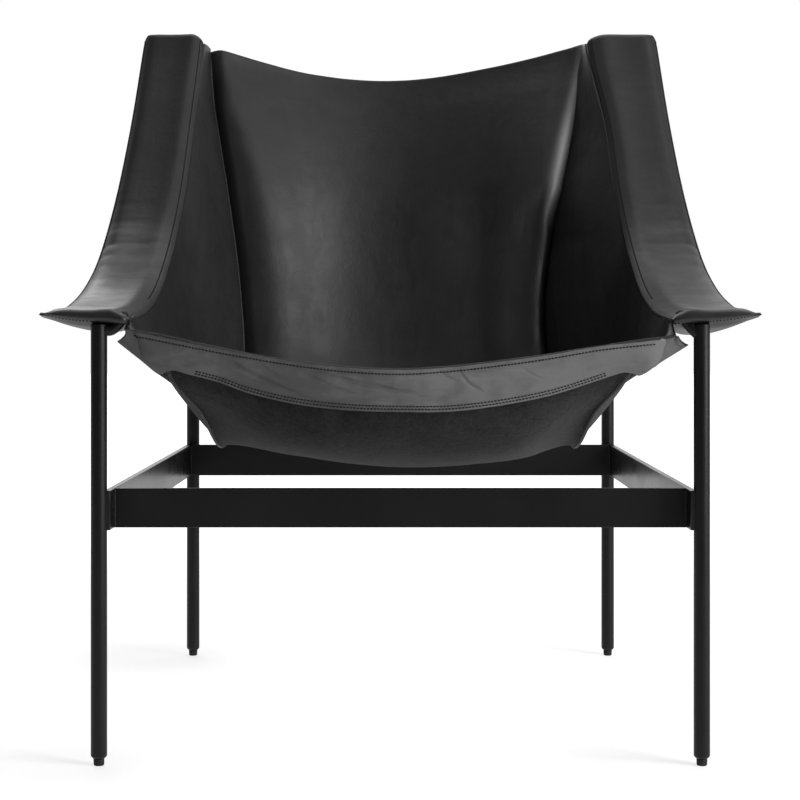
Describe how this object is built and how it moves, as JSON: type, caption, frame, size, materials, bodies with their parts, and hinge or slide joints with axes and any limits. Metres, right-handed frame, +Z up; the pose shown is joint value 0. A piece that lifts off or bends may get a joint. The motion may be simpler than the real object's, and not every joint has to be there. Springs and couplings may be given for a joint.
{
  "type": "leather sling lounge chair",
  "caption": "Low lounge chair: a winged leather sling with padded-looking flat arms hung on a slim round-leg steel frame joined by a flat-bar ring.",
  "frame": {"origin": "on the floor, under the middle of the chair's plan box", "axes": "+Z up, the sitter faces -Y, +X is the sitter's left"},
  "size_m": [0.757, 0.7048, 0.8352],
  "materials": {
    "frame_steel": "satin",
    "foot_rubber": "matte",
    "leather": "satin"
  },
  "bodies": {
    "root": {"front_leg_left": "frame_steel", "rear_leg_left": "frame_steel", "front_foot_left": "foot_rubber", "rear_foot_left": "foot_rubber", "front_leg_right": "frame_steel", "rear_leg_right": "frame_steel", "front_foot_right": "foot_rubber", "rear_foot_right": "foot_rubber", "front_bar": "frame_steel", "rear_bar": "frame_steel", "side_bar_left": "frame_steel", "side_bar_right": "frame_steel", "wing_rod_left": "frame_steel", "wing_rod_right": "frame_steel", "wing_facing_left": "leather", "wing_facing_right": "leather", "wing_backing_left": "leather", "wing_backing_right": "leather", "side_panel_left": "leather", "side_panel_right": "leather", "sling_body": "leather", "front_band": "leather"}
  },
  "joints": []
}
